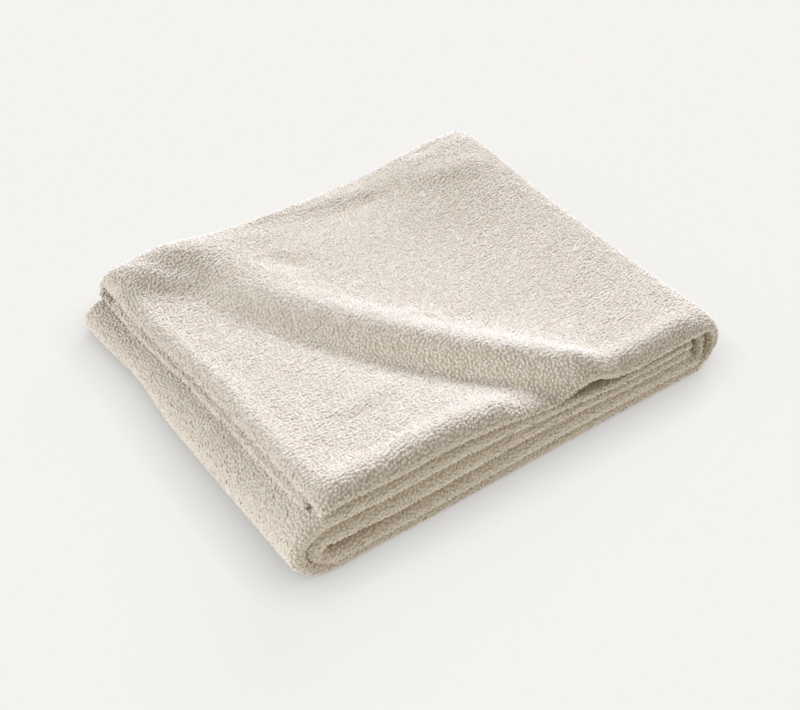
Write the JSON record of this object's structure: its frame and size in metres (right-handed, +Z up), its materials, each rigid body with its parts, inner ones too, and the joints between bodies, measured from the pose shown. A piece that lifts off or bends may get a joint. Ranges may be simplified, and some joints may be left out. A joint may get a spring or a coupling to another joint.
{
  "type": "boucle throw",
  "caption": "Folded boucle throw in cream: one thick hemmed cloth, gate folded and then folded in three, lying flat with a soft ridge across its top.",
  "frame": {"origin": "centre of the folded throw's footprint, on the surface that it lies on", "axes": "+X along the layered front edge towards the right fold, +Y towards the back fold, +Z up"},
  "size_m": [0.4534, 0.3817, 0.0856],
  "materials": {
    "boucle": "matte looped boucle, undyed cream"
  },
  "bodies": {
    "root": {"throw": "boucle"}
  },
  "joints": []
}
